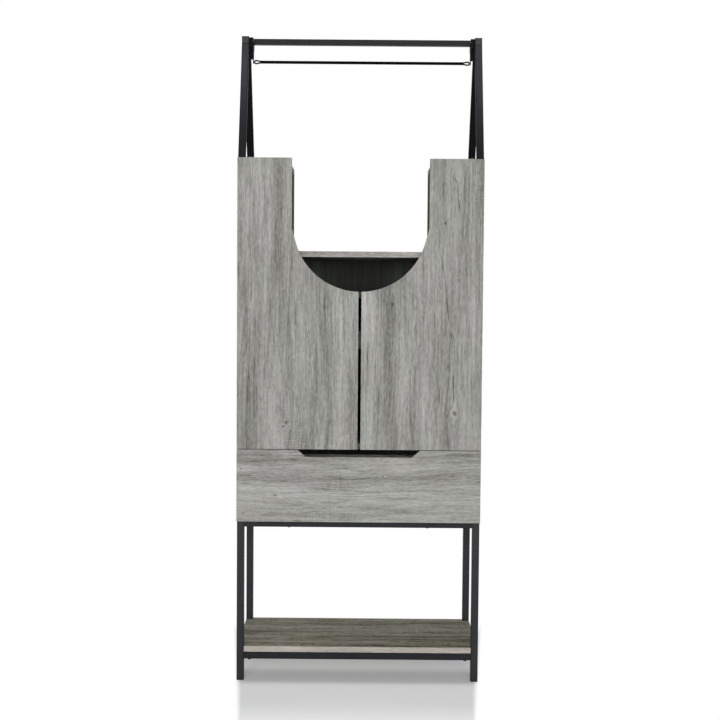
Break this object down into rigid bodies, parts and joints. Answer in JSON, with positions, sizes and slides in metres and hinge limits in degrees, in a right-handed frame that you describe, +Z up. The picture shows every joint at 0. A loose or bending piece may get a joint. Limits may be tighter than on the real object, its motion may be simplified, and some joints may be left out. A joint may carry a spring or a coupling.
{
  "type": "wine cabinet",
  "caption": "Tall cabinet on a steel base with a lower shelf, a drawer, hinged doors with a U-shaped display cut, and A-frames that carry a crossbar and a wire rail.",
  "frame": {"origin": "on the floor, under the middle of the outer box", "axes": "+X to the right as seen from the front, +Y to the rear, +Z up; the doors face -Y"},
  "size_m": [0.65, 0.318, 1.737],
  "materials": {
    "oak_front": "grey oak grain, satin",
    "oak_board": "grey oak grain, satin",
    "back_board": "dark thin board, matt",
    "beech": "bare fluted beech",
    "black_steel": "black powder coat, fine texture",
    "black_plastic": "black moulded plastic",
    "hinge_steel": "nickel-plated pressed steel",
    "zinc_steel": "bright zinc plate",
    "black_screws": "black zinc plate",
    "magnet_parts": "black case with dark magnets"
  },
  "bodies": {
    "cabinet": {"base_leg_front_left": "black_steel", "base_leg_front_right": "black_steel", "base_leg_rear_left": "black_steel", "base_leg_rear_right": "black_steel", "foot_caps": "black_plastic", "lower_rail_front": "black_steel", "top_rail_front": "black_steel", "lower_rail_rear": "black_steel", "top_rail_rear": "black_steel", "base_screws": "black_screws", "lower_side_rails": "black_steel", "top_side_rails": "black_steel", "lower_shelf": "oak_board", "base_board": "oak_board", "cupboard_floor": "oak_board", "middle_shelf": "oak_board", "upper_shelf": "oak_board", "display_deck": "oak_board", "side_panel_left": "oak_board", "partition_left": "oak_board", "side_panel_right": "oak_board", "partition_right": "oak_board", "tower_tops": "oak_board", "back_panels": "back_board", "shelf_pins": "zinc_steel", "cam_locks": "zinc_steel", "cam_bolts": "zinc_steel", "dowels": "beech", "back_nails": "zinc_steel", "strut_front_left": "black_steel", "strut_rear_left": "black_steel", "strut_front_right": "black_steel", "strut_rear_right": "black_steel", "strut_base_plates": "black_steel", "strut_screws": "black_screws", "apex_blocks": "black_steel", "apex_end_plugs": "black_plastic", "crossbar_brackets": "black_steel", "bracket_bolts": "black_screws", "crossbar": "black_steel", "wire_rail": "black_steel", "hinge_arms": "hinge_steel", "hinge_plates": "hinge_steel", "hinge_screws": "zinc_steel", "magnet_catch": "magnet_parts", "slide_rails_fixed": "zinc_steel"},
    "left_door": {"left_door": "oak_front", "left_hinge_cups": "hinge_steel", "left_strike_plate": "zinc_steel"},
    "right_door": {"right_door": "oak_front", "right_hinge_cups": "hinge_steel", "right_strike_plate": "zinc_steel"},
    "drawer": {"drawer_front": "oak_front", "drawer_bottom": "oak_board", "drawer_side_left": "oak_board", "drawer_side_right": "oak_board", "drawer_back": "oak_board", "drawer_fixings": "zinc_steel", "slide_rails_moving": "zinc_steel"},
    "ball_cages": {"ball_cages": "zinc_steel"}
  },
  "joints": [
    {"name": "left_door_hinge", "type": "hinge", "parent": "cabinet", "child": "left_door", "pos_m": [-0.318, -0.153, 1.014], "axis": [0, 0, -1], "range_deg": [0, 95]},
    {"name": "right_door_hinge", "type": "hinge", "parent": "cabinet", "child": "right_door", "pos_m": [0.318, -0.153, 1.014], "axis": [0, 0, 1], "range_deg": [0, 95]},
    {"name": "drawer_slide", "type": "slide", "parent": "cabinet", "child": "drawer", "axis": [0, -1, 0], "range_m": [0, 0.18]},
    {"name": "ball_cage_slide", "type": "slide", "parent": "cabinet", "child": "ball_cages", "axis": [0, -1, 0], "range_m": [0, 0.09]}
  ],
  "couplings": [
    {"joint": "ball_cage_slide", "follows": "drawer_slide", "ratio": 0.5}
  ]
}
